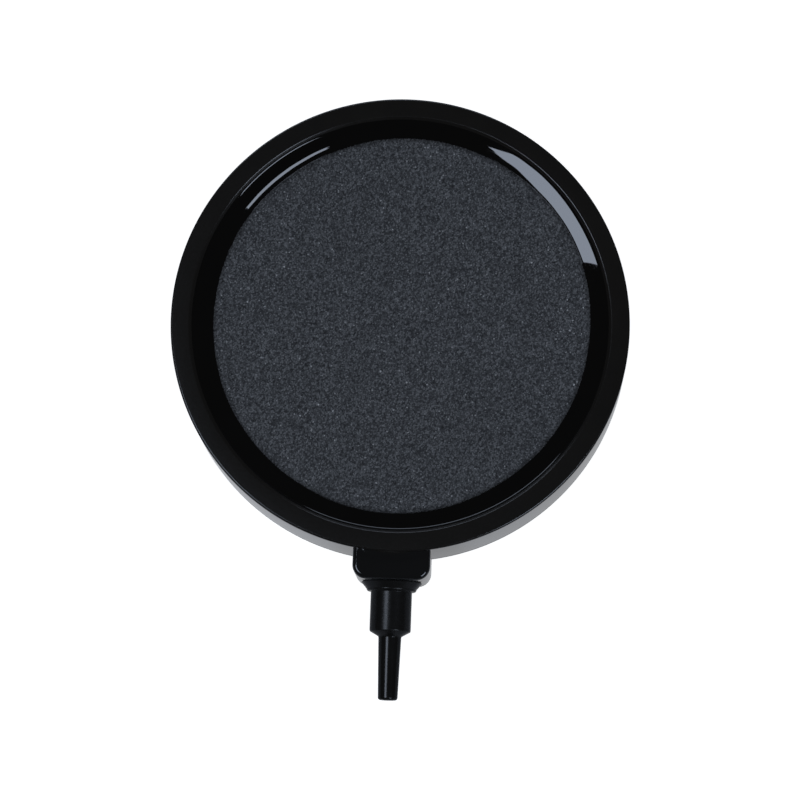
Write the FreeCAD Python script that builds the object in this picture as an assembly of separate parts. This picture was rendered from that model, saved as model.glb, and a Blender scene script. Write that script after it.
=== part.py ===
"""Round air stone (bubble disc) for an aquarium or a pond, in millimetres.

+Z is up, along the disc's axis. The origin is the middle of the face that the disc stands on.
The air inlet points along -Y.

A black plastic shell and a base plate close an air chamber. A disc of porous stone forms the
chamber's roof. It lies on a ledge in the shell and is sealed all round with cast epoxy. Air comes
in through a stepped nozzle, bonded into the front wall of a hollow neck.
"""
import FreeCAD, Part
import math
import os

from FreeCAD import Vector

# ---- driving dimensions ----
disc_height = 20.0
rim_radius = 50.1  # outside of the disc at the rim
wall_draft = 0.35  # how much wider the disc is at its foot than at its rim
rim_inner_radius = 46.2  # inner edge of the flat rim
rim_outer_round = 0.5
rim_inner_round = 0.7

skirt_wall = 2.6  # wall round the air chamber
ledge_inner_radius = 42.0
ledge_top = 13.0
ledge_thickness = 1.6

stone_radius = 44.9
stone_top = 18.2
stone_edge_chamfer = 0.6
bed_thickness = 0.25  # epoxy between the ledge and the stone
bead_inner_radius = 41.5  # where the epoxy's surface runs out on the stone
bead_wall_height = 1.05  # how far the epoxy climbs the wall above the stone
bead_edge_thickness = 0.06
bead_middle_share = 0.32  # the surface's height half way up the bead, as a share of its rise

base_flange = 1.4  # thickness of the base plate's flange
base_floor = 1.2  # thickness of the floor above the flange's top
seam_chamfer = 0.25
foot_round = 0.4
standing_ring_inner = 38.0
underside_recess = 0.6
spigot_clearance = 0.1  # base plate's spigot inside the shell's skirt
spigot_height = 1.6
spigot_wall = 1.6

support_ring_radius = 22.0  # middle of the ring of ribs under the stone
support_rib_width = 1.8
support_rib_count = 6
support_rib_sweep = 36.0  # degrees
centre_post_radius = 3.0

neck_half_width = 8.4
neck_reach = 56.0  # from the disc's axis to the neck's front face
neck_top = 19.0
neck_corner_radius = 3.0
neck_top_round = 1.0
neck_blend = 1.2  # radius of the hollow round between the neck's top and the rim
neck_wall = 2.4
neck_core_gap = 0.3  # wall kept between the neck's upper core and the disc, and the cores' overlap
neck_floor_clearance = 0.15  # base plate's tongue inside the neck
air_slot_margin = 2.0  # spigot left at each side of the slot that lets the air past it

inlet_height = 10.0  # nozzle axis above the standing face
air_bore_radius = 1.3
socket_boss_radius = 5.8
socket_depth = 5.0  # bonded length of the nozzle's tail
tail_radius = 3.8
bond_film = 0.15
tail_lead = 0.4
tail_reach = 0.8  # how far the tail stands out into the neck

collar_base_radius = 6.65
collar_face_radius = 5.45
collar_cone_length = 1.4
collar_face_length = 0.6
collar_round = 0.3
stub_radius = 4.5
stub_length = 8.4  # from the collar to the start of the shoulder
shoulder_round = 0.5
shoulder_round_sweep = 50.0  # degrees
shoulder_length = 1.5
tip_base_radius = 2.5
tip_end_radius = 2.15
tip_length = 13.7
tip_round = 0.6

cut_overrun = 1.0  # how far a cutting shape passes the face that it opens
tiny = 1e-6  # below this, two lengths are the same

# ---- worked out from them ----
wall_foot_radius = rim_radius + wall_draft
well_radius = rim_inner_radius - rim_inner_round
chamber_radius = rim_radius - skirt_wall
stone_bottom = ledge_top + bed_thickness
chamber_floor = base_flange + base_floor
ledge_bottom = ledge_top - ledge_thickness
neck_core_half_width = neck_half_width - neck_wall
neck_core_front = neck_reach - neck_wall
socket_radius = tail_radius + bond_film
socket_end = neck_reach - socket_depth
up = Vector(0, 0, 1)
origin = Vector(0, 0, 0)


def quarter_round(centre, radius, start_angle, end_angle):
    """An arc in the XZ plane about centre, with its angles in degrees from +X towards +Z."""
    middle_angle = (start_angle + end_angle) / 2
    points = []
    for angle in (start_angle, middle_angle, end_angle):
        turn = math.radians(angle)
        points.append(centre + Vector(radius * math.cos(turn), 0, radius * math.sin(turn)))
    return Part.Arc(*points).toShape()


def section(*parts):
    """A closed face in the XZ plane from (r, z) points and arc edges, in order."""
    edges = []
    last = None
    first = None
    for part in parts:
        if isinstance(part, tuple):
            start = end = Vector(part[0], 0, part[1])
            edge = None
        else:
            start = part.valueAt(part.FirstParameter)
            end = part.valueAt(part.LastParameter)
            edge = part
        if first is None:
            first = start
        if last is not None and not last.isEqual(start, tiny):
            edges.append(Part.makeLine(last, start))
        if edge is not None:
            edges.append(edge)
        last = end
    if not last.isEqual(first, tiny):
        edges.append(Part.makeLine(last, first))
    return Part.Face(Part.Wire(edges))


def turned(face):
    """The solid that a section makes when it turns about the disc's axis."""
    return face.revolve(origin, up, 360)


def turned_about_inlet(face):
    """A section drawn with r along X and the distance along the nozzle as Z, on the nozzle's axis."""
    solid = face.revolve(origin, up, 360)
    solid.rotate(origin, Vector(1, 0, 0), 90)
    solid.translate(Vector(0, 0, inlet_height))
    return solid


def box(half_width, front, back, low, high):
    """A box centred on X = 0 whose Y runs from -front to -back."""
    corner = Vector(-half_width, -front, low)
    return Part.makeBox(2 * half_width, front - back, high - low, corner)


def inlet_cylinder(radius, front, back):
    """A cylinder on the nozzle's axis whose Y runs from -front to -back."""
    base = Vector(0, -front, inlet_height)
    return Part.makeCylinder(radius, front - back, base, Vector(0, 1, 0))


def plan_block(half_width, front, low, high, corner_radius):
    """The neck's plan, with its two front corners rounded, raised between two heights."""
    block = box(half_width, front, 0, low, high)
    corners = [
        edge
        for edge in block.Edges
        if edge.BoundBox.ZLength > high - low - tiny and edge.BoundBox.YMax < -front + tiny
    ]
    return block.makeFillet(corner_radius, corners)


def outline_edges(solid, height):
    """The edges round a plan_block at one height, without the one at its back."""
    return [
        edge
        for edge in solid.Edges
        if abs(edge.BoundBox.ZMin - height) < tiny
        and abs(edge.BoundBox.ZMax - height) < tiny
        and edge.BoundBox.YMin < -tiny
    ]


def neck_blend_ring():
    """A ring with a hollow round that leads from the rim's outer round down to the neck's top."""
    drop = disc_height - neck_top
    rim_centre_r = rim_radius - rim_outer_round
    rim_centre_z = disc_height - rim_outer_round
    both = neck_blend + rim_outer_round
    rise = neck_top + neck_blend - rim_centre_z
    blend_centre_r = rim_centre_r + math.sqrt(both**2 - rise**2)
    meeting_angle = math.degrees(math.atan2(rise, blend_centre_r - rim_centre_r))
    hollow = quarter_round(
        Vector(blend_centre_r, 0, neck_top + neck_blend), neck_blend, 180 + meeting_angle, 270
    )
    profile = section(
        (rim_centre_r, neck_top - drop),
        (rim_centre_r, rim_centre_z),
        hollow,
        (blend_centre_r, neck_top - drop),
    )
    return turned(profile)


def neck_outside():
    """The neck's outer shape, from the shell's foot to its rounded top."""
    neck = plan_block(neck_half_width, neck_reach, base_flange, neck_top, neck_corner_radius)
    neck = neck.makeFillet(neck_top_round, outline_edges(neck, neck_top))
    neck = neck.makeChamfer(seam_chamfer, outline_edges(neck, base_flange))
    flat_top_half_width = neck_half_width - neck_top_round
    blend_limit = box(flat_top_half_width, neck_reach, 0, 0, disc_height)
    neck = neck.fuse(neck_blend_ring().common(blend_limit))
    disc_core = Part.makeCylinder(rim_radius - rim_outer_round, disc_height)
    return neck.cut(disc_core)


def housing_shell():
    """Rim, stone well with its ledge, skirt and hollow neck, moulded in one piece."""
    rim_arc = quarter_round(
        Vector(rim_radius - rim_outer_round, 0, disc_height - rim_outer_round), rim_outer_round, 0, 90
    )
    bevel_arc = quarter_round(
        Vector(rim_inner_radius, 0, disc_height - rim_inner_round), rim_inner_round, 90, 180
    )
    profile = section(
        (wall_foot_radius - seam_chamfer, base_flange),
        (wall_foot_radius, base_flange + seam_chamfer),
        rim_arc,
        bevel_arc,
        (well_radius, ledge_top),
        (ledge_inner_radius, ledge_top),
        (ledge_inner_radius, ledge_bottom),
        (chamber_radius, ledge_bottom),
        (chamber_radius, base_flange),
    )
    body = turned(profile).fuse(neck_outside())
    lower_core = box(neck_core_half_width, neck_core_front, ledge_inner_radius, 0, ledge_bottom)
    upper_core = box(
        neck_core_half_width,
        neck_core_front,
        rim_radius + neck_core_gap,
        ledge_bottom - neck_core_gap,
        neck_top - neck_wall,
    )
    body = body.cut(lower_core).cut(upper_core)
    body = body.fuse(inlet_cylinder(socket_boss_radius, neck_core_front, socket_end))
    body = body.cut(inlet_cylinder(socket_radius, neck_reach + cut_overrun, socket_end - cut_overrun))
    return body.removeSplitter()


def support_rib(middle_angle):
    """One curved rib that stands on the floor and carries the stone."""
    inner = support_ring_radius - support_rib_width / 2
    profile = section(
        (inner, base_flange),
        (inner + support_rib_width, base_flange),
        (inner + support_rib_width, stone_bottom),
        (inner, stone_bottom),
    )
    rib = profile.revolve(origin, up, support_rib_sweep)
    rib.rotate(origin, up, middle_angle - support_rib_sweep / 2)
    return rib


def base_plate():
    """Floor of the air chamber: flange, standing ring, locating spigot, neck tongue and stone ribs."""
    spigot_outer = chamber_radius - spigot_clearance
    foot_arc = quarter_round(
        Vector(wall_foot_radius - foot_round, 0, foot_round), foot_round, -90, 0
    )
    profile = section(
        (0, underside_recess),
        (standing_ring_inner, underside_recess),
        (standing_ring_inner, 0),
        foot_arc,
        (wall_foot_radius, base_flange - seam_chamfer),
        (wall_foot_radius - seam_chamfer, base_flange),
        (spigot_outer, base_flange),
        (spigot_outer, base_flange + spigot_height),
        (spigot_outer - spigot_wall, base_flange + spigot_height),
        (spigot_outer - spigot_wall, chamber_floor),
        (0, chamber_floor),
    )
    disc = turned(profile)
    foot = plan_block(neck_half_width, neck_reach, 0, base_flange, neck_corner_radius)
    foot = foot.makeFillet(foot_round, outline_edges(foot, 0))
    foot = foot.makeChamfer(seam_chamfer, outline_edges(foot, base_flange))
    foot = foot.cut(Part.makeCylinder(rim_radius - foot_round, base_flange))
    tongue_half_width = neck_core_half_width - neck_floor_clearance
    tongue_front = neck_core_front - neck_floor_clearance
    tongue = box(tongue_half_width, tongue_front, chamber_radius - spigot_wall, 0, chamber_floor)
    tongue = tongue.cut(box(tongue_half_width, tongue_front, 0, 0, underside_recess))
    slot_half_width = neck_core_half_width - air_slot_margin
    air_slot = box(slot_half_width, spigot_outer, ledge_inner_radius, chamber_floor, ledge_top)
    body = disc.fuse([foot, tongue])
    body = body.cut(air_slot)
    ribs = [support_rib(index * 360 / support_rib_count) for index in range(support_rib_count)]
    post = Part.makeCylinder(centre_post_radius, stone_bottom - base_flange, Vector(0, 0, base_flange))
    return body.fuse(ribs + [post]).removeSplitter()


def porous_stone():
    """Disc of sintered grit that lets the air out as fine bubbles."""
    profile = section(
        (0, stone_bottom),
        (stone_radius, stone_bottom),
        (stone_radius, stone_top - stone_edge_chamfer),
        (stone_radius - stone_edge_chamfer, stone_top),
        (0, stone_top),
    )
    return turned(profile)


def stone_epoxy():
    """Epoxy under the stone's edge, round it and over it, with a hollow surface up to the wall."""
    bead_top = stone_top + bead_wall_height
    middle_radius = (bead_inner_radius + well_radius) / 2
    middle_height = stone_top + bead_edge_thickness + bead_wall_height * bead_middle_share
    surface = Part.Arc(
        Vector(well_radius, 0, bead_top),
        Vector(middle_radius, 0, middle_height),
        Vector(bead_inner_radius, 0, stone_top + bead_edge_thickness),
    ).toShape()
    profile = section(
        (ledge_inner_radius, ledge_top),
        (well_radius, ledge_top),
        surface,
        (bead_inner_radius, stone_top),
        (stone_radius - stone_edge_chamfer, stone_top),
        (stone_radius, stone_top - stone_edge_chamfer),
        (stone_radius, stone_bottom),
        (ledge_inner_radius, stone_bottom),
    )
    return turned(profile)


def inlet_nozzle():
    """Two-step hose nozzle with a conical collar in front and a tail that is bonded into the neck."""
    collar_front = collar_cone_length + collar_face_length
    stub_end = collar_front + stub_length
    tip_start = stub_end + shoulder_length
    tip_end = tip_start + tip_length
    tail_end = -(socket_depth + tail_reach)
    collar_arc = quarter_round(
        Vector(collar_face_radius - collar_round, 0, collar_front - collar_round), collar_round, 0, 90
    )
    shoulder_arc = quarter_round(
        Vector(stub_radius - shoulder_round, 0, stub_end), shoulder_round, 0, shoulder_round_sweep
    )
    tip_arc = quarter_round(Vector(tip_end_radius - tip_round, 0, tip_end - tip_round), tip_round, 0, 90)
    profile = section(
        (air_bore_radius, tail_end),
        (tail_radius - tail_lead, tail_end),
        (tail_radius, tail_end + tail_lead),
        (tail_radius, 0),
        (collar_base_radius, 0),
        (collar_face_radius, collar_cone_length),
        collar_arc,
        (stub_radius, collar_front),
        shoulder_arc,
        (tip_base_radius, tip_start),
        tip_arc,
        (air_bore_radius, tip_end),
    )
    nozzle = turned_about_inlet(profile)
    nozzle.translate(Vector(0, -neck_reach, 0))
    return nozzle


def nozzle_bond():
    """Film of solvent cement round the nozzle's tail."""
    outside = inlet_cylinder(socket_radius, neck_reach, socket_end)
    return outside.cut(inlet_cylinder(tail_radius, neck_reach, socket_end))


sub_parts = {
    "housing_shell": housing_shell,
    "base_plate": base_plate,
    "porous_stone": porous_stone,
    "stone_epoxy": stone_epoxy,
    "inlet_nozzle": inlet_nozzle,
    "nozzle_bond": nozzle_bond,
}
os.makedirs("parts", exist_ok=True)
for name, make in sub_parts.items():
    shape = make()
    shape.exportStep(f"parts/{name}.step")
    extent = shape.BoundBox
    print(
        f"{name}: {len(shape.Solids)} solid, valid {shape.isValid()}, {shape.Volume / 1000:.2f} cm3,",
        f"X {extent.XMin:.1f} to {extent.XMax:.1f}, Y {extent.YMin:.1f} to {extent.YMax:.1f},",
        f"Z {extent.ZMin:.2f} to {extent.ZMax:.2f}",
    )
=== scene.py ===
"""A round air stone on a white floor, in Blender: its looks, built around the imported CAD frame.

Lengths in the constants are in millimetres and MM turns them into metres, except for the camera's
place, the lights and the weld distance, which are in metres. Scales of noise are per metre.
"""

import math

import bmesh
import bpy
import numpy as np
from mathutils import Matrix, Vector


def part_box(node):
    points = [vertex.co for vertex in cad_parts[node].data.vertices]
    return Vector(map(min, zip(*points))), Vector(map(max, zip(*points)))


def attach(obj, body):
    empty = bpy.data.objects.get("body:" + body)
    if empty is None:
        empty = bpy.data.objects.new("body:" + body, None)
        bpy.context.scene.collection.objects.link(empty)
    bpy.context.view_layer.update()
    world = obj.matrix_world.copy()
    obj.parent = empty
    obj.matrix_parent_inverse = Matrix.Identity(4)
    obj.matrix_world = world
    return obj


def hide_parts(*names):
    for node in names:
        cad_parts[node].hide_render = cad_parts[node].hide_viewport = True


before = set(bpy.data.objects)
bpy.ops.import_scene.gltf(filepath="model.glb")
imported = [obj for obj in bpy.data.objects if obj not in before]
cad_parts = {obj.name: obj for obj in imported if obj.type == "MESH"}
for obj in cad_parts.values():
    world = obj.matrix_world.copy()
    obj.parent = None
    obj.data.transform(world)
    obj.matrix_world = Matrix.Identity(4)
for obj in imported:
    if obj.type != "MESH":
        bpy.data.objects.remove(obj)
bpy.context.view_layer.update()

MM = 0.001

# ---- camera: a long lens high above the disc, a little to the nozzle's side ----
CAMERA_AZIMUTH = 11.35
CAMERA_ELEVATION = 81.3
CAMERA_ROLL = 2.05
CAMERA_DISTANCE = 0.6011
CAMERA_AIM = Vector((0.00067, -0.0171, 0.020))
CAMERA_LENS = 124.65
CAMERA_SENSOR = 36.0
CAMERA_CLIP_START = 0.01

# ---- lights and floor ----
LIGHT_TINT = (0.86, 0.97, 1.17)  # daylight, a little blue
LIGHT_DISTANCE = 2.0
WORLD_STRENGTH = 0.045
FLOOR_HALF = 2000
FLOOR_HEIGHT = -0.05  # just below the standing ring
FLOOR_SEEN = 0.93  # how bright the floor looks
FLOOR_MIRRORED = 0.42  # how bright the object finds it, from straight above
FLOOR_FALLOFF = 8.0  # how fast that fades towards flat angles

# ---- places, from the frame ----
STONE_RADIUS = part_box("porous_stone")[1].x / MM
STONE_BOTTOM, STONE_TOP = (corner.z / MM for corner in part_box("porous_stone"))
WELL_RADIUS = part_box("stone_epoxy")[1].x / MM
LEDGE_TOP, BEAD_TOP = (corner.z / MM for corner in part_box("stone_epoxy"))
FLANGE_TOP, RIM_TOP = (corner.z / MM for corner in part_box("housing_shell"))
FOOT_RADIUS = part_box("base_plate")[1].x / MM
NECK_FRONT = -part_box("nozzle_bond")[0].y / MM
NOZZLE_LOW, NOZZLE_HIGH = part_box("inlet_nozzle")
INLET_HEIGHT = (NOZZLE_LOW.z + NOZZLE_HIGH.z) / 2 / MM
TAIL_END = -NOZZLE_HIGH.y / MM - NECK_FRONT  # behind the neck's front, so below 0
SOCKET_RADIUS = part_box("nozzle_bond")[1].x / MM
NOZZLE_REACH = -NOZZLE_LOW.y / MM - NECK_FRONT

# ---- housing ----
RIM_RADIUS = 50.1
RIM_OUTER_ROUND = 0.5
RIM_BEVEL_SLOPE = 38  # degrees
RIM_BEVEL_EDGE = 46.27  # where the flat rim ends
RIM_BEVEL_ROUND = 0.5
RIM_WALL_ROUND = 0.12
CHAMBER_RADIUS = 47.5
LEDGE_RADIUS = 42.0
LEDGE_BOTTOM = 11.4
SEAM_CHAMFER = 0.25
RING_SEGMENTS = 720
SATIN_FROM, SATIN_FULL = 19.2, 19.5  # heights between which the polish turns satin

# ---- neck ----
NECK_HALF_WIDTH = 8.4
NECK_TOP = 19.0
NECK_CORNER = 3.0
NECK_CORNER_START = NECK_FRONT - NECK_CORNER
NECK_TOP_ROUND = 1.0
NECK_BACK = 48.5  # inside the ring's wall
NECK_CURVE_END = 51.4  # its rows follow the disc's curve up to here, then straighten
NECK_BLEND = 1.8  # radius of the hollow round between its top and the rim
NECK_BLEND_FADE = (0.5, 8.0)  # half widths between which the hollow round runs out
NECK_COLUMNS = 42
NECK_FINE_ROWS = 36
NECK_FRONT_ROWS = 7
NECK_CORNER_ROWS = 12

# ---- base ----
FOOT_ROUND = 0.4
STANDING_RING_INNER = 38.0
STANDING_RING_CHAMFER = 0.1
UNDERSIDE_RECESS = 0.6
RECESS_CHAMFER = 0.3
SPIGOT_RADIUS = 47.4
SPIGOT_WALL = 1.6
SPIGOT_HEIGHT = 1.6
CHAMBER_FLOOR = 2.6

# ---- nozzle, drawn as radius against distance in front of the neck ----
BORE_RADIUS = 1.3
BORE_CHAMFER = 0.12
TAIL_RADIUS = 3.8
TAIL_LEAD = 0.4
COLLAR_BASE = 6.65
COLLAR_CHAMFER = 0.08
COLLAR_FACE = 5.45
COLLAR_END = 2.0
COLLAR_ROUND = 0.5
STUB_RADIUS = 4.5
STUB_FILLET = 0.2
STUB_END = 10.4
SHOULDER_ROUND = 0.5
SHOULDER_SWEEP = 50  # degrees
TIP_START = 11.9
TIP_BASE = 2.5
TIP_FILLET = 0.4
TIP_FILLET_SHIFT = 0.15  # of its centre, beyond the tip's start
TIP_FILLET_SWEEP = 52  # degrees
TIP_RADIUS = 2.15
TIP_ROUND = 0.6
NOZZLE_SEGMENTS = 256
SOCKET_MOUTH = 1.0  # the cutter for the tail's socket starts in front of the neck
PASSAGE_END = -9.5  # and its passage ends in the air chamber

# ---- stone ----
GRIT_SEED = 11
GRIT_RADIUS = 42.6  # the epoxy hides what lies outside it
GRIT_CELLS = 290
GRIT_JITTER = 0.33  # of a cell
GRIT_HEIGHT = 0.075
PIT_SHARE = 0.018
PIT_DEPTH = 0.22
STONE_CHAMFER = 0.6

# ---- epoxy bead: an uneven inner edge, a low lip, a slope, and a climb up the well's wall ----
BEAD_SEED = 5
BEAD_SEGMENTS = 1440
BEAD_INNER_RADIUS = 41.34
BEAD_COURSE = ((1, 0.37, 20), (2, 0.24, 59), (3, 0.11, 28), (6, 0.08, 29))  # waves, size, turn of a crest
BEAD_SINK = 0.12  # its edge starts this far under the stone's face
BEAD_FOOT = 3 * BEAD_SINK  # and its body ends this far under it
LIP_WIDTH = 0.5
LIP_EDGE_SHARE = 0.35  # of its width, where the edge comes up
LIP_RISE = 0.09  # where the lip is highest
LIP_HIGHEST_AT = math.radians(250)
LIP_POWER = 4  # how late the slope starts within the lip
LIP_ROWS = 15
STEP_HEIGHT = 0.34  # a step in the bead where it was filled twice
STEP_AT = math.radians(130)
STEP_START = 0.82  # from the bead's inner edge
STEP_WIDTH = 1.1
SLOPE_SHARE = 0.8  # steepness where the slope starts, against its mean
SLOPE_ROWS = 30
CLIMB_WIDTH = (0.35, 0.76)  # next to the wall
NARROWEST_AT = math.radians(95)
CLIMB_RISE = 0.20  # where the climb is narrowest
CLIMB_GROWTH = 0.40  # how much more it rises where it is widest
CLIMB_POWER = 2.0
CLIMB_ROWS = 16
INNER_RIPPLE = ((8, 13, 21, 34, 55), 0.05)  # numbers of waves round the disc, and their size
LIP_RIPPLE = ((3, 5, 9, 14), 0.01)
CLIMB_RIPPLE = ((4, 7, 11), 0.02)

# ---- materials ----
CLOUD_SCALE = 70
SPECK_SCALE = 900
PEEL_SCALE = 260
PEEL_HEIGHT = 0.0015  # of a moulding's slight unevenness
CLOUD_DEPTH = 0.15  # how far a cloudy colour goes from its mean
CLOUD_ENDS = (0.3, 0.7)  # the noise levels where a cloudy colour reaches its two ends
SPECK_ENDS = (0.35, 0.75)  # and the levels for a speckled gloss
SATIN_CLOUD_SCALE = 120
SATIN_SPECK_SCALE = 1500
PLASTIC_IOR = 1.5
EPOXY_IOR = 1.52
EPOXY_CLOUD_SCALE = 90
EPOXY_SPECK_SCALE = 500
EPOXY_WAVE_SCALE = 160
EPOXY_WAVE_HEIGHT = 0.0012
GRAINS_PER_METRE = 3100
GRAIN_BUMP_SCALE = 6000
GRAIN_BUMP_HEIGHT = 0.02
SOAK_AND_SHADE_WIDTH = 1.1  # of the stone's dark margin: partly epoxy soaked into the stone, partly painted shade next to the bead
# how dark that margin is painted: soaked epoxy and painted shade together
SOAK_AND_SHADE_FACTOR = 0.42

WELD_DISTANCE = 1e-6
ANGLE_OF_EDGES = math.radians(32)  # faces that meet more sharply than this show an edge


# ---------------------------------------------------------------- mesh helpers
def object_from(name, verts, faces):
    """A mesh object from points in millimetres."""
    mesh = bpy.data.meshes.new(name)
    mesh.from_pydata((np.asarray(verts) * MM).tolist(), [], [list(map(int, face)) for face in faces])
    obj = bpy.data.objects.new(name, mesh)
    bpy.context.scene.collection.objects.link(obj)
    return obj


def clean(obj):
    """Welds points that lie together and turns all faces outwards."""
    shape = bmesh.new()
    shape.from_mesh(obj.data)
    bmesh.ops.remove_doubles(shape, verts=shape.verts, dist=WELD_DISTANCE)
    bmesh.ops.recalc_face_normals(shape, faces=shape.faces)
    shape.to_mesh(obj.data)
    shape.free()
    return obj


def smooth(obj):
    """Shades faces smooth between real edges."""
    obj.data.shade_smooth()
    obj.data.set_sharp_from_angle(angle=ANGLE_OF_EDGES)
    return obj


def combine(obj, other, operation):
    """Joins a second closed mesh to the first, or cuts it away, and removes the second object."""
    modifier = obj.modifiers.new("combine", "BOOLEAN")
    modifier.operation = operation
    modifier.solver = "EXACT"
    modifier.object = other
    depsgraph = bpy.context.evaluated_depsgraph_get()
    joined = bpy.data.meshes.new_from_object(obj.evaluated_get(depsgraph))
    obj.modifiers.clear()
    obj.data = joined
    bpy.data.objects.remove(other)
    return clean(obj)


def arc(centre, radius, start, end, points):
    """Points of an arc about centre, with its angles in degrees."""
    turns = np.radians(np.linspace(start, end, points))
    return [(centre[0] + radius * math.cos(t), centre[1] + radius * math.sin(t)) for t in turns]


def lathe(name, profile, segments):
    """A closed (r, z) profile turned about Z; a profile that starts and ends at r = 0 is closed there."""
    turns = np.linspace(0, 2 * math.pi, segments, endpoint=False)
    verts = []
    rows = []
    for radius, height in profile:
        if radius == 0:
            rows.append([len(verts)])
            verts.append((0, 0, height))
            continue
        rows.append(range(len(verts), len(verts) + segments))
        verts += [(radius * math.cos(t), radius * math.sin(t), height) for t in turns]
    faces = []
    for row, after in zip(rows, rows[1:] + rows[:1]):
        if len(row) == 1 and len(after) == 1:
            continue
        for k in range(segments):
            m = (k + 1) % segments
            corners = [row[k % len(row)], row[m % len(row)], after[m % len(after)], after[k % len(after)]]
            faces.append(list(dict.fromkeys(corners)))
    return clean(object_from(name, verts, faces))


def quads_between(row, after):
    """Faces between two rows of points that both run round the disc."""
    return np.c_[row, np.roll(row, -1), np.roll(after, -1), after].tolist()


def along_inlet(obj):
    """Lays a shape turned about Z along the inlet's axis, with height 0 at the neck's front."""
    turn = Matrix.Rotation(math.radians(90), 4, "X")
    shift = Matrix.Translation(Vector((0, -NECK_FRONT, INLET_HEIGHT)) * MM)
    obj.data.transform(shift @ turn)
    return obj


def ease(share):
    """0 to 1 with a level start and end; what lies outside is cut off."""
    share = np.clip(share, 0, 1)
    return share * share * (3 - 2 * share)


def piece(obj, material, node):
    """Gives a finished mesh its material and its place in the frame: it stands for one CAD node."""
    obj.data.materials.append(material)
    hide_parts(node)
    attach(obj, "root")
    return obj


# ---------------------------------------------------------------- material helpers
def scaled(colour, factor):
    return tuple(channel * factor for channel in colour)


class Material:
    """A node material with one Principled shader, read by Object coordinates in metres."""

    def __init__(self, name):
        self.made = bpy.data.materials.new(name)
        self.made.use_nodes = True
        self.tree = self.made.node_tree
        self.tree.nodes.clear()
        out = self.add("ShaderNodeOutputMaterial")
        self.shader = self.add("ShaderNodeBsdfPrincipled")
        self.link(self.shader.outputs["BSDF"], out.inputs["Surface"])
        self.place = self.add("ShaderNodeTexCoord").outputs["Object"]

    def add(self, kind, **settings):
        node = self.tree.nodes.new(kind)
        for key, value in settings.items():
            setattr(node, key, value)
        return node

    def link(self, source, target):
        self.tree.links.new(source, target)

    def set(self, **values):
        """Fixed values of the shader's inputs."""
        for key, value in values.items():
            self.shader.inputs[key.replace("_", " ")].default_value = value

    def feed(self, **sources):
        """Sources that drive the shader's inputs."""
        for key, source in sources.items():
            self.link(source, self.shader.inputs[key.replace("_", " ")])

    def noise(self, scale, detail=2.0, roughness=0.5):
        node = self.add("ShaderNodeTexNoise")
        node.inputs["Scale"].default_value = scale
        node.inputs["Detail"].default_value = detail
        node.inputs["Roughness"].default_value = roughness
        self.link(self.place, node.inputs["Vector"])
        return node.outputs["Fac"]

    def voronoi(self, scale, output="Color"):
        node = self.add("ShaderNodeTexVoronoi")
        node.inputs["Scale"].default_value = scale
        self.link(self.place, node.inputs["Vector"])
        return node.outputs[output]

    def ramp(self, source, *stops):
        """Maps a factor to greys or colours at the given places."""
        node = self.add("ShaderNodeValToRGB")
        elements = node.color_ramp.elements
        while len(elements) < len(stops):
            elements.new(0.5)
        for element, (place, value) in zip(elements, stops):
            colour = value if isinstance(value, tuple) else (value,) * 3
            element.position = place
            element.color = (*colour, 1)
        self.link(source, node.inputs["Fac"])
        return node.outputs["Color"]

    def cloudy(self, noise, low, high):
        """A colour that drifts between two values."""
        return self.ramp(noise, *zip(CLOUD_ENDS, (low, high)))

    def speckled(self, noise, low, high):
        """A roughness that changes between two values."""
        return self.ramp(noise, *zip(SPECK_ENDS, (low, high)))

    def math(self, operation, first, second=0.0):
        """One operation; one that takes a single value ignores the second."""
        node = self.add("ShaderNodeMath", operation=operation)
        for socket, value in zip(node.inputs, (first, second)):
            if isinstance(value, (int, float)):
                socket.default_value = value
            else:
                self.link(value, socket)
        return node.outputs[0]

    def mix(self, share, first, second):
        node = self.add("ShaderNodeMix", data_type="RGBA")
        self.link(share, node.inputs["Factor"])
        self.link(first, node.inputs["A"])
        self.link(second, node.inputs["B"])
        return node.outputs["Result"]

    def darkened(self, colour, shade):
        node = self.add("ShaderNodeMix", data_type="RGBA", blend_type="MULTIPLY")
        node.inputs["Factor"].default_value = 1.0
        self.link(colour, node.inputs["A"])
        self.link(shade, node.inputs["B"])
        return node.outputs["Result"]

    def axes(self):
        """X, Y and Z of a place on the object, in metres."""
        split = self.add("ShaderNodeSeparateXYZ")
        self.link(self.place, split.inputs[0])
        return split.outputs

    def share_between(self, value, low, high):
        """0 below one length and 1 above another, both in millimetres, with a soft change between."""
        node = self.add("ShaderNodeMapRange", interpolation_type="SMOOTHSTEP")
        node.inputs["From Min"].default_value = low * MM
        node.inputs["From Max"].default_value = high * MM
        self.link(value, node.inputs["Value"])
        return node.outputs["Result"]

    def nearness_to_bead(self):
        """0 on the open stone, rising to 1 at the bead's inner edge, along the bead's course."""
        axes = self.axes()
        x, y = axes["X"], axes["Y"]
        turn = self.math("ARCTAN2", y, x)
        squares = self.math("ADD", self.math("MULTIPLY", x, x), self.math("MULTIPLY", y, y))
        gap = self.math("SUBTRACT", self.math("SQRT", squares), BEAD_INNER_RADIUS * MM)
        for count, size, crest in BEAD_COURSE:
            phase = self.math("SUBTRACT", self.math("MULTIPLY", turn, count), math.radians(count * crest))
            gap = self.math("SUBTRACT", gap, self.math("MULTIPLY", self.math("COSINE", phase), size * MM))
        return self.share_between(gap, -SOAK_AND_SHADE_WIDTH, 0)

    def bump(self, height, distance):
        node = self.add("ShaderNodeBump")
        node.inputs["Strength"].default_value = 1.0
        node.inputs["Distance"].default_value = distance * MM
        self.link(height, node.inputs["Height"])
        self.link(node.outputs["Normal"], self.shader.inputs["Normal"])


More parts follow.
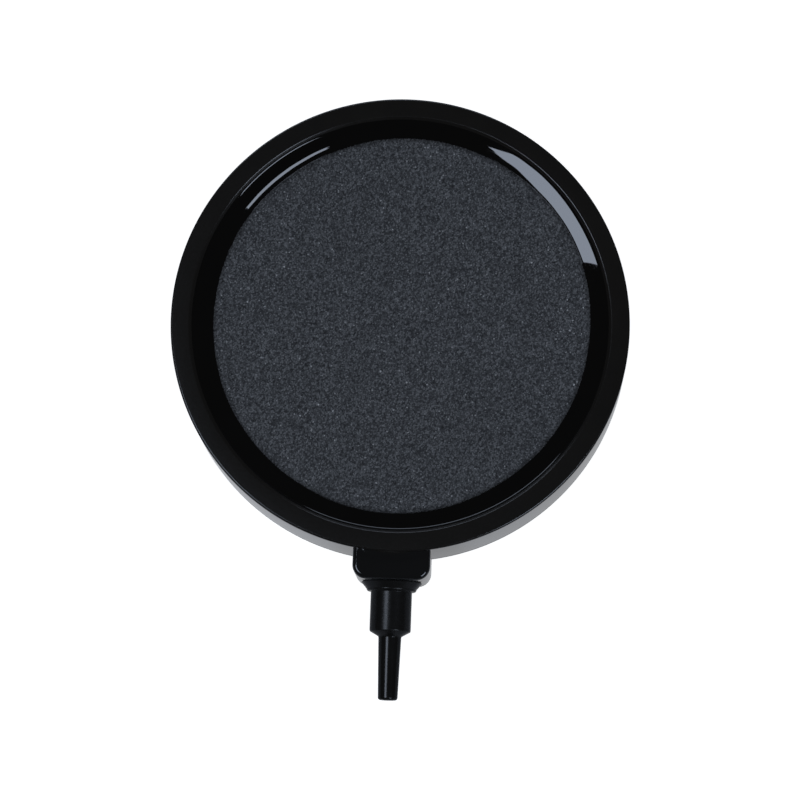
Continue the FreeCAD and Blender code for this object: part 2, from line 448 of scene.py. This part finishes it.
# ---------------------------------------------------------------- materials
def plain_plastic(name, colour, gloss, satin):
    """Black plastic with one look all over, a little cloudy in its colour and its gloss."""
    mat = Material(name)
    cloud = mat.noise(CLOUD_SCALE, detail=3)
    mat.feed(
        Base_Color=mat.cloudy(cloud, scaled(colour, 1 - CLOUD_DEPTH), scaled(colour, 1 + CLOUD_DEPTH)),
        Roughness=mat.speckled(mat.noise(SPECK_SCALE, detail=4), gloss, satin),
    )
    mat.set(IOR=PLASTIC_IOR)
    mat.bump(mat.noise(PEEL_SCALE), PEEL_HEIGHT)
    return mat.made


def housing_material():
    """Polished black plastic, with the rim's top left satin by the mould."""
    mat = Material("housing_plastic")
    satin_share = mat.share_between(mat.axes()["Z"], SATIN_FROM, SATIN_FULL)
    polished = mat.cloudy(mat.noise(CLOUD_SCALE, detail=3), 0.0065, 0.0085)
    grained = mat.noise(SATIN_CLOUD_SCALE, detail=4, roughness=0.6)
    satin = mat.cloudy(grained, (0.0080, 0.0071, 0.0060), (0.0101, 0.0089, 0.0075))
    fine = mat.noise(SATIN_SPECK_SCALE, detail=4, roughness=0.7)
    gloss = mat.speckled(fine, 0.05, 0.09)
    sheen = mat.speckled(fine, 0.19, 0.24)
    mat.feed(
        Base_Color=mat.mix(satin_share, polished, satin),
        Roughness=mat.mix(satin_share, gloss, sheen),
    )
    mat.set(IOR=PLASTIC_IOR)
    mat.bump(mat.noise(PEEL_SCALE), PEEL_HEIGHT)
    return mat.made


def nozzle_material():
    """Black plastic, polished on the tip and duller on the stub and the collar."""
    mat = Material("nozzle_plastic")
    stub_share = mat.share_between(mat.axes()["Y"], -NECK_FRONT - TIP_START, -NECK_FRONT - STUB_END)
    fine = mat.noise(SPECK_SCALE, detail=4)
    polished = mat.speckled(fine, 0.17, 0.22)
    dull = mat.speckled(fine, 0.26, 0.31)
    cloud = mat.noise(CLOUD_SCALE, detail=3)
    mat.feed(
        Base_Color=mat.cloudy(cloud, (0.0069, 0.0065, 0.0060), (0.0092, 0.0088, 0.0082)),
        Roughness=mat.mix(stub_share, polished, dull),
    )
    mat.set(IOR=PLASTIC_IOR, Specular_IOR_Level=0.28)
    mat.bump(mat.noise(PEEL_SCALE), PEEL_HEIGHT)
    return mat.made


def epoxy_material():
    """Cast black epoxy, as glossy as it hardened."""
    mat = Material("black_epoxy")
    mat.feed(
        Base_Color=mat.cloudy(mat.noise(EPOXY_CLOUD_SCALE, detail=3), 0.0010, 0.0016),
        Roughness=mat.speckled(mat.noise(EPOXY_SPECK_SCALE, detail=3), 0.02, 0.04),
    )
    mat.set(IOR=EPOXY_IOR)
    mat.bump(mat.noise(EPOXY_WAVE_SCALE), EPOXY_WAVE_HEIGHT)
    return mat.made


def stone_material():
    """Sintered grit: each grain has its own grey, and a few grains are painted pale as glints. The pores
    between grains get painted shade, and the margin by the bead is darker, partly soaked epoxy and partly
    painted shade.
    """
    mat = Material("porous_stone")
    grain = mat.voronoi(GRAINS_PER_METRE)
    grains = mat.ramp(
        grain,
        (0.0, (0.0170, 0.0178, 0.0190)),
        (0.45, (0.0680, 0.0695, 0.0720)),
        (0.9, (0.165, 0.168, 0.171)),
        # painted glints: the palest few grains stand in for glinting facets
        (0.985, (0.54, 0.54, 0.54)),
    )
    # painted shade: the grey darkens towards each grain cell's edge, as shade in the pores between grains
    pore_shade = mat.ramp(mat.voronoi(GRAINS_PER_METRE, "Distance"), (0.35, 1.0), (0.8, 0.45))
    # soaked epoxy and painted shade: the stone darkens towards the bead's inner edge
    soaked_and_shaded = mat.ramp(mat.nearness_to_bead(), (0.0, 1.0), (1.0, SOAK_AND_SHADE_FACTOR))
    mat.feed(
        Base_Color=mat.darkened(mat.darkened(grains, pore_shade), soaked_and_shaded),
        Roughness=mat.ramp(grain, (0.2, 0.85), (0.95, 0.45)),
    )
    mat.bump(mat.noise(GRAIN_BUMP_SCALE, detail=3), GRAIN_BUMP_HEIGHT)
    return mat.made


# ---------------------------------------------------------------- housing and base
def housing_ring():
    """Rim, well with its ledge, and skirt, all round."""
    outer = arc((RIM_RADIUS - RIM_OUTER_ROUND, RIM_TOP - RIM_OUTER_ROUND), RIM_OUTER_ROUND, 0, 90, points=15)
    turn = 90 + RIM_BEVEL_SLOPE
    upper = arc((RIM_BEVEL_EDGE, RIM_TOP - RIM_BEVEL_ROUND), RIM_BEVEL_ROUND, 90, turn, points=11)
    foot = WELL_RADIUS + RIM_WALL_ROUND * (1 + math.cos(math.radians(turn)))
    foot_height = upper[-1][1] - (upper[-1][0] - foot) * math.tan(math.radians(RIM_BEVEL_SLOPE))
    centre = (WELL_RADIUS + RIM_WALL_ROUND, foot_height - RIM_WALL_ROUND * math.sin(math.radians(turn)))
    profile = [
        (CHAMBER_RADIUS, FLANGE_TOP),
        (FOOT_RADIUS - SEAM_CHAMFER, FLANGE_TOP),
        (FOOT_RADIUS, FLANGE_TOP + SEAM_CHAMFER),
        *outer,
        *upper,
        *arc(centre, RIM_WALL_ROUND, turn, 180, points=9),
        (WELL_RADIUS, LEDGE_TOP),
        (LEDGE_RADIUS, LEDGE_TOP),
        (LEDGE_RADIUS, LEDGE_BOTTOM),
        (CHAMBER_RADIUS, LEDGE_BOTTOM),
    ]
    return lathe("housing", profile, RING_SEGMENTS)


def blend_height(x, y):
    """How far the hollow round between the neck and the rim stands above the neck's top."""
    rim_centre = RIM_RADIUS - RIM_OUTER_ROUND
    rise = NECK_TOP + NECK_BLEND - (RIM_TOP - RIM_OUTER_ROUND)
    centre = rim_centre + math.sqrt((NECK_BLEND + RIM_OUTER_ROUND) ** 2 - rise**2)
    meeting = rim_centre + (centre - rim_centre) * RIM_OUTER_ROUND / (NECK_BLEND + RIM_OUTER_ROUND)
    away = np.clip(centre - np.hypot(x, y), 0, centre - meeting)
    start, end = NECK_BLEND_FADE
    return (NECK_BLEND - np.sqrt(NECK_BLEND**2 - away**2)) * ease((end - np.abs(x)) / (end - start))


def neck_plan(inset):
    """Rows of (x, distance) across the neck at one inset, from inside the wall to the neck's front."""
    shares = np.linspace(-1, 1, NECK_COLUMNS + 1)
    near_rim = np.linspace(NECK_BACK, NECK_CURVE_END, NECK_FINE_ROWS)
    along = np.linspace(NECK_CURVE_END, NECK_CORNER_START, NECK_FRONT_ROWS + 1)[1:]
    plan = []
    for distance in (*near_rim, *along):
        x = (NECK_HALF_WIDTH - inset) * shares
        bowed = np.sqrt(distance**2 - x**2)
        curved = min((NECK_CORNER_START - distance) / (NECK_CORNER_START - NECK_CURVE_END), 1)
        plan.append((x, distance + (bowed - distance) * curved))
    radius = NECK_CORNER - inset
    for turn in np.radians(np.linspace(0, 90, NECK_CORNER_ROWS + 1)[1:]):
        x = (NECK_HALF_WIDTH - NECK_CORNER + radius * math.cos(turn)) * shares
        plan.append((x, np.full_like(x, NECK_CORNER_START + radius * math.sin(turn))))
    return plan


def neck_block(name, levels):
    """The neck's plan raised through levels of (inset, height); its top blends into the rim."""
    plans = [neck_plan(inset) for inset, _ in levels]
    last_row = len(plans[0]) - 1
    verts = []
    index = {}

    def corner(level, row, column):
        """The number of one point, which is made when it is first asked for."""
        key = (level, row, column)
        if key not in index:
            x, distance = (values[column] for values in plans[level][row])
            height = levels[level][1]
            lift = blend_height(x, distance) if height == NECK_TOP else 0
            index[key] = len(verts)
            verts.append((x, -distance, height + lift))
        return index[key]

    outline = []
    for column in (0, NECK_COLUMNS):
        outline += [((row, column), (row + 1, column)) for row in range(last_row)]
    for column in range(NECK_COLUMNS):
        outline += [((row, column), (row, column + 1)) for row in (last_row, 0)]
    faces = []
    for low in range(len(levels) - 1):
        for here, there in outline:
            points = ((low, *here), (low, *there), (low + 1, *there), (low + 1, *here))
            faces.append([corner(*point) for point in points])
    for level in (0, len(levels) - 1):
        for row in range(last_row):
            for column in range(NECK_COLUMNS):
                places = ((row, column), (row + 1, column), (row + 1, column + 1), (row, column + 1))
                faces.append([corner(level, *place) for place in places])
    return clean(object_from(name, verts, faces))


def socket_cutter():
    """What the nozzle's tail and the air need: a socket in the neck and a passage into the chamber."""
    profile = [
        (0, SOCKET_MOUTH),
        (SOCKET_RADIUS, SOCKET_MOUTH),
        (SOCKET_RADIUS, TAIL_END),
        (BORE_RADIUS, TAIL_END),
        (BORE_RADIUS, PASSAGE_END),
        (0, PASSAGE_END),
    ]
    return along_inlet(lathe("socket", profile, NOZZLE_SEGMENTS))


def housing():
    """The shell with its neck, as one moulding."""
    top_round = arc((0, NECK_TOP - NECK_TOP_ROUND), NECK_TOP_ROUND, 0, 90, points=15)
    levels = [
        (SEAM_CHAMFER, FLANGE_TOP),
        (0, FLANGE_TOP + SEAM_CHAMFER),
        *((NECK_TOP_ROUND - reach, height) for reach, height in top_round),
    ]
    shell = combine(housing_ring(), neck_block("neck", levels), "UNION")
    whole = combine(shell, socket_cutter(), "DIFFERENCE")
    return piece(smooth(whole), housing_material(), "housing_shell")


def base():
    """The plate that closes the chamber, with its standing ring and the foot under the neck."""
    profile = [
        (0, UNDERSIDE_RECESS),
        (STANDING_RING_INNER - RECESS_CHAMFER, UNDERSIDE_RECESS),
        (STANDING_RING_INNER, UNDERSIDE_RECESS - RECESS_CHAMFER),
        (STANDING_RING_INNER, STANDING_RING_CHAMFER),
        (STANDING_RING_INNER + STANDING_RING_CHAMFER, 0),
        *arc((FOOT_RADIUS - FOOT_ROUND, FOOT_ROUND), FOOT_ROUND, -90, 0, points=13),
        (FOOT_RADIUS, FLANGE_TOP - SEAM_CHAMFER),
        (FOOT_RADIUS - SEAM_CHAMFER, FLANGE_TOP),
        (SPIGOT_RADIUS, FLANGE_TOP),
        (SPIGOT_RADIUS, FLANGE_TOP + SPIGOT_HEIGHT),
        (SPIGOT_RADIUS - SPIGOT_WALL, FLANGE_TOP + SPIGOT_HEIGHT),
        (SPIGOT_RADIUS - SPIGOT_WALL, CHAMBER_FLOOR),
        (0, CHAMBER_FLOOR),
    ]
    foot_arc = arc((0, FOOT_ROUND), FOOT_ROUND, -90, 0, points=9)
    levels = [
        *((FOOT_ROUND - reach, height) for reach, height in foot_arc),
        (0, FLANGE_TOP - SEAM_CHAMFER),
        (SEAM_CHAMFER, FLANGE_TOP),
    ]
    whole = combine(lathe("base", profile, RING_SEGMENTS), neck_block("foot", levels), "UNION")
    look = plain_plastic("base_plastic", (0.004, 0.004, 0.0043), 0.12, 0.2)
    return piece(smooth(whole), look, "base_plate")


# ---------------------------------------------------------------- nozzle and its bond
def nozzle():
    """Collar, hose stub, shoulder and tapered airline tip, with the bore right through."""
    collar_round = (COLLAR_FACE - COLLAR_ROUND, COLLAR_END - COLLAR_ROUND)
    stub_fillet = (STUB_RADIUS + STUB_FILLET, COLLAR_END + STUB_FILLET)
    shoulder = (STUB_RADIUS - SHOULDER_ROUND, STUB_END)
    tip_fillet = (TIP_BASE + TIP_FILLET, TIP_START + TIP_FILLET_SHIFT)
    tip_round = (TIP_RADIUS - TIP_ROUND, NOZZLE_REACH - TIP_ROUND)
    profile = [
        (BORE_RADIUS, TAIL_END),
        (TAIL_RADIUS - TAIL_LEAD, TAIL_END),
        (TAIL_RADIUS, TAIL_END + TAIL_LEAD),
        (TAIL_RADIUS, 0),
        (COLLAR_BASE - COLLAR_CHAMFER, 0),
        (COLLAR_BASE, COLLAR_CHAMFER),
        *arc(collar_round, COLLAR_ROUND, 0, 90, points=9),
        *arc(stub_fillet, STUB_FILLET, 270, 180, points=7),
        *arc(shoulder, SHOULDER_ROUND, 0, SHOULDER_SWEEP, points=11),
        *arc(tip_fillet, TIP_FILLET, 180 + TIP_FILLET_SWEEP, 180, points=7),
        *arc(tip_round, TIP_ROUND, 0, 90, points=13),
        (BORE_RADIUS + BORE_CHAMFER, NOZZLE_REACH),
        (BORE_RADIUS, NOZZLE_REACH - BORE_CHAMFER),
    ]
    obj = along_inlet(lathe("nozzle", profile, NOZZLE_SEGMENTS))
    return piece(smooth(obj), nozzle_material(), "inlet_nozzle")


def dress_bond():
    """The film of cement stays as the CAD made it; only its material is new."""
    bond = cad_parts["nozzle_bond"]
    bond.data.materials.clear()
    bond.data.materials.append(plain_plastic("solvent_cement", (0.006, 0.006, 0.006), 0.1, 0.2))


# ---------------------------------------------------------------- stone
def disc_from_square(u, v):
    """Carries a square grid onto a disc with even cells."""
    wide = np.abs(u) > np.abs(v)
    reach = np.where(wide, u, v)
    turn = math.pi / 4 * np.where(wide, v, u) / np.where(reach == 0, 1, reach)
    along, across = reach * np.cos(turn), reach * np.sin(turn)
    return np.where(wide, along, across), np.where(wide, across, along)


def grit_face(rng):
    """Points of the stone's face: a shaken grid on a disc, with grains and here and there a pit."""
    ticks = np.linspace(-1, 1, GRIT_CELLS + 1)
    u, v = np.meshgrid(ticks, ticks, indexing="ij")
    inside = np.maximum(np.abs(u), np.abs(v)) < 1
    cell = 2 / GRIT_CELLS
    u = u + np.where(inside, rng.uniform(-GRIT_JITTER, GRIT_JITTER, u.shape) * cell, 0)
    v = v + np.where(inside, rng.uniform(-GRIT_JITTER, GRIT_JITTER, v.shape) * cell, 0)
    x, y = disc_from_square(u, v)
    z = STONE_TOP - GRIT_HEIGHT + rng.uniform(-GRIT_HEIGHT, GRIT_HEIGHT, u.shape)
    z -= np.where(rng.random(u.shape) < PIT_SHARE, PIT_DEPTH, 0)
    return np.c_[x.ravel() * GRIT_RADIUS, y.ravel() * GRIT_RADIUS, z.ravel()]


def grit_disc():
    """The stone, whose face is a bed of grains with pores between them."""
    verts = [grit_face(np.random.default_rng(GRIT_SEED))]
    total = len(verts[0])
    index = np.arange(total).reshape(GRIT_CELLS + 1, GRIT_CELLS + 1)
    corners = (index[:-1, :-1], index[1:, :-1], index[1:, 1:], index[:-1, 1:])
    faces = np.stack([corner.ravel() for corner in corners], axis=1).tolist()
    last = np.concatenate([index[:-1, 0], index[-1, :-1], index[:0:-1, -1], index[0, :0:-1]])
    turns = np.arctan2(verts[0][last, 1], verts[0][last, 0])
    for radius, height in (
        (STONE_RADIUS - STONE_CHAMFER, STONE_TOP - GRIT_HEIGHT),
        (STONE_RADIUS, STONE_TOP - STONE_CHAMFER),
        (STONE_RADIUS, STONE_BOTTOM),
        (GRIT_RADIUS, STONE_BOTTOM),
    ):
        verts.append(np.c_[radius * np.cos(turns), radius * np.sin(turns), np.full(len(turns), height)])
        row = np.arange(total, total + len(turns))
        total += len(turns)
        faces += quads_between(last, row)
        last = row
    faces.append(last.tolist())
    obj = clean(object_from("grit_disc", np.concatenate(verts), faces))
    return piece(obj, stone_material(), "porous_stone")


# ---------------------------------------------------------------- epoxy bead
def waves(angles, rng, counts, size):
    """A smooth uneven course round the disc: sines with falling sizes."""
    total = np.zeros_like(angles)
    for count in counts:
        total += size / math.sqrt(count) * np.sin(count * angles + rng.uniform(0, 2 * math.pi))
    return total


def swell(angles, place):
    """1 at one place round the disc, falling to 0 a quarter turn away."""
    return np.clip(np.cos(angles - place), 0, 1)


def inner_course(angles, rng):
    """Radius of the bead's inner edge."""
    inner = BEAD_INNER_RADIUS + waves(angles, rng, *INNER_RIPPLE)
    for count, size, crest in BEAD_COURSE:
        inner += size * np.cos(count * (angles - math.radians(crest)))
    return inner


def bead_rows():
    """Rows of points round the disc that follow the bead's section, out to the wall and back underneath."""
    rng = np.random.default_rng(BEAD_SEED)
    angles = np.linspace(0, 2 * math.pi, BEAD_SEGMENTS, endpoint=False)
    inner = inner_course(angles, rng)
    lip = LIP_RISE * swell(angles, LIP_HIGHEST_AT) ** 2 + waves(angles, rng, *LIP_RIPPLE)
    step = STEP_HEIGHT * swell(angles, STEP_AT) ** 4
    breadth = (1 - np.cos(angles - NARROWEST_AT)) / 2
    narrow, wide = CLIMB_WIDTH
    climb = narrow + (wide - narrow) * breadth + waves(angles, rng, *CLIMB_RIPPLE)
    climb_rise = CLIMB_RISE + CLIMB_GROWTH * breadth**2

    slope_run = WELL_RADIUS - climb - inner - LIP_WIDTH
    slope_rise = BEAD_TOP - STONE_TOP - lip - step - climb_rise
    lip_gain = SLOPE_SHARE * slope_rise / slope_run * LIP_WIDTH / LIP_POWER
    climb_start = (2 - SLOPE_SHARE) * slope_rise / slope_run * climb
    slope_rise = slope_rise - lip_gain

    rows = []
    for share in np.linspace(0, 1, LIP_ROWS):
        edge = math.sin(min(share / LIP_EDGE_SHARE, 1) * math.pi / 2)
        height = STONE_TOP - BEAD_SINK + (lip + BEAD_SINK) * edge + lip_gain * share**LIP_POWER
        rows.append((inner + LIP_WIDTH * share, height))
    for share in np.linspace(0, 1, SLOPE_ROWS + 1)[1:]:
        radius = inner + LIP_WIDTH + slope_run * share
        risen = SLOPE_SHARE * share + (1 - SLOPE_SHARE) * share**2
        height = STONE_TOP + lip + lip_gain + slope_rise * risen
        rows.append((radius, height + step * ease((radius - inner - STEP_START) / STEP_WIDTH)))
    for share in np.linspace(0, 1, CLIMB_ROWS + 1)[1:]:
        height = BEAD_TOP - climb_rise + climb_start * share + (climb_rise - climb_start) * share**CLIMB_POWER
        rows.append((WELL_RADIUS - climb * (1 - share), height))
    level = np.ones_like(angles)
    under = (STONE_TOP - BEAD_FOOT) * level
    rows += [
        (WELL_RADIUS * level, LEDGE_TOP * level),
        (STONE_RADIUS * level, LEDGE_TOP * level),
        (STONE_RADIUS * level, under),
        (inner, under),
    ]
    return [np.c_[radius * np.cos(angles), radius * np.sin(angles), height] for radius, height in rows]


def epoxy_bead():
    """The cast epoxy that seals the stone's edge."""
    rows = bead_rows()
    index = np.arange(len(rows) * BEAD_SEGMENTS).reshape(len(rows), BEAD_SEGMENTS)
    faces = []
    for row, after in zip(index, np.roll(index, -1, axis=0)):
        faces += quads_between(row, after)
    obj = clean(object_from("epoxy_bead", np.concatenate(rows), faces))
    return piece(smooth(obj), epoxy_material(), "stone_epoxy")


# ---------------------------------------------------------------- stage, lights, camera
def floor_material():
    """White that looks evenly lit, and is dimmer where the object mirrors it."""
    mat = Material("floor_white")
    mat.set(Base_Color=(0.5, 0.5, 0.5, 1), Roughness=0.9, Specular_IOR_Level=0.0, Emission_Color=(1, 1, 1, 1))
    facing = mat.add("ShaderNodeLayerWeight").outputs["Facing"]
    from_above = mat.math("POWER", mat.math("SUBTRACT", 1.0, facing), FLOOR_FALLOFF)
    mirrored = mat.math("MULTIPLY", from_above, FLOOR_MIRRORED)
    seen = mat.math("MULTIPLY", mat.add("ShaderNodeLightPath").outputs["Is Camera Ray"], FLOOR_SEEN)
    mat.feed(Emission_Strength=mat.math("MAXIMUM", mirrored, seen))
    return mat.made


def stage():
    """The floor under the object and the studio's even light."""
    signs = ((-1, -1), (1, -1), (1, 1), (-1, 1))
    corners = [(x * FLOOR_HALF, y * FLOOR_HALF, FLOOR_HEIGHT) for x, y in signs]
    floor = object_from("floor", corners, [(0, 1, 2, 3)])
    floor.data.materials.append(floor_material())
    world = bpy.data.worlds.new("studio")
    bpy.context.scene.world = world
    world.use_nodes = True
    world.node_tree.nodes["Background"].inputs["Color"].default_value = (1, 1, 1, 1)
    world.node_tree.nodes["Background"].inputs["Strength"].default_value = WORLD_STRENGTH


def softbox(name, azimuth, tilt, width, height, radiance):
    """An area light that faces the disc, by its azimuth from +X and its tilt from straight above."""
    a, t = math.radians(azimuth), math.radians(tilt)
    away = Vector((math.sin(t) * math.cos(a), math.sin(t) * math.sin(a), math.cos(t)))
    side = Vector((-math.sin(a), math.cos(a), 0))
    lamp = bpy.data.lights.new(name, "AREA")
    lamp.shape = "RECTANGLE"
    lamp.size = width
    lamp.size_y = height
    lamp.energy = radiance * math.pi * width * height
    lamp.color = LIGHT_TINT
    obj = bpy.data.objects.new(name, lamp)
    place = Vector((0, 0, RIM_TOP * MM)) + away * LIGHT_DISTANCE
    turn = Matrix((side, away.cross(side), away)).transposed().to_4x4()
    obj.matrix_world = Matrix.Translation(place) @ turn
    bpy.context.scene.collection.objects.link(obj)


def camera():
    """The camera on its long lens, turned about its line of sight by the roll."""
    azimuth, elevation, roll = (math.radians(v) for v in (CAMERA_AZIMUTH, CAMERA_ELEVATION, CAMERA_ROLL))
    level = Vector((math.sin(azimuth), -math.cos(azimuth), 0))
    back = level * math.cos(elevation) + Vector((0, 0, math.sin(elevation)))
    up = (Vector((0, 1, 0)) - back * back.y).normalized()
    right = up.cross(back)
    rolled_right = right * math.cos(roll) + up * math.sin(roll)
    rolled_up = back.cross(rolled_right)
    data = bpy.data.cameras.new("camera")
    data.lens = CAMERA_LENS
    data.sensor_width = CAMERA_SENSOR
    data.clip_start = CAMERA_CLIP_START
    obj = bpy.data.objects.new("camera", data)
    turn = Matrix((rolled_right, rolled_up, back)).transposed().to_4x4()
    obj.matrix_world = Matrix.Translation(CAMERA_AIM + back * CAMERA_DISTANCE) @ turn
    bpy.context.scene.collection.objects.link(obj)
    bpy.context.scene.camera = obj


camera()
stage()
softbox("key_light", azimuth=198.6, tilt=26.4, width=0.71, height=0.64, radiance=5.7)
softbox("second_light", azimuth=316.5, tilt=46, width=0.78, height=0.66, radiance=5.5)
softbox("back_light", azimuth=103, tilt=67, width=2.2, height=0.48, radiance=2.5)
bpy.context.scene.view_settings.view_transform = "Standard"
housing()
base()
nozzle()
grit_disc()
epoxy_bead()
dress_bond()
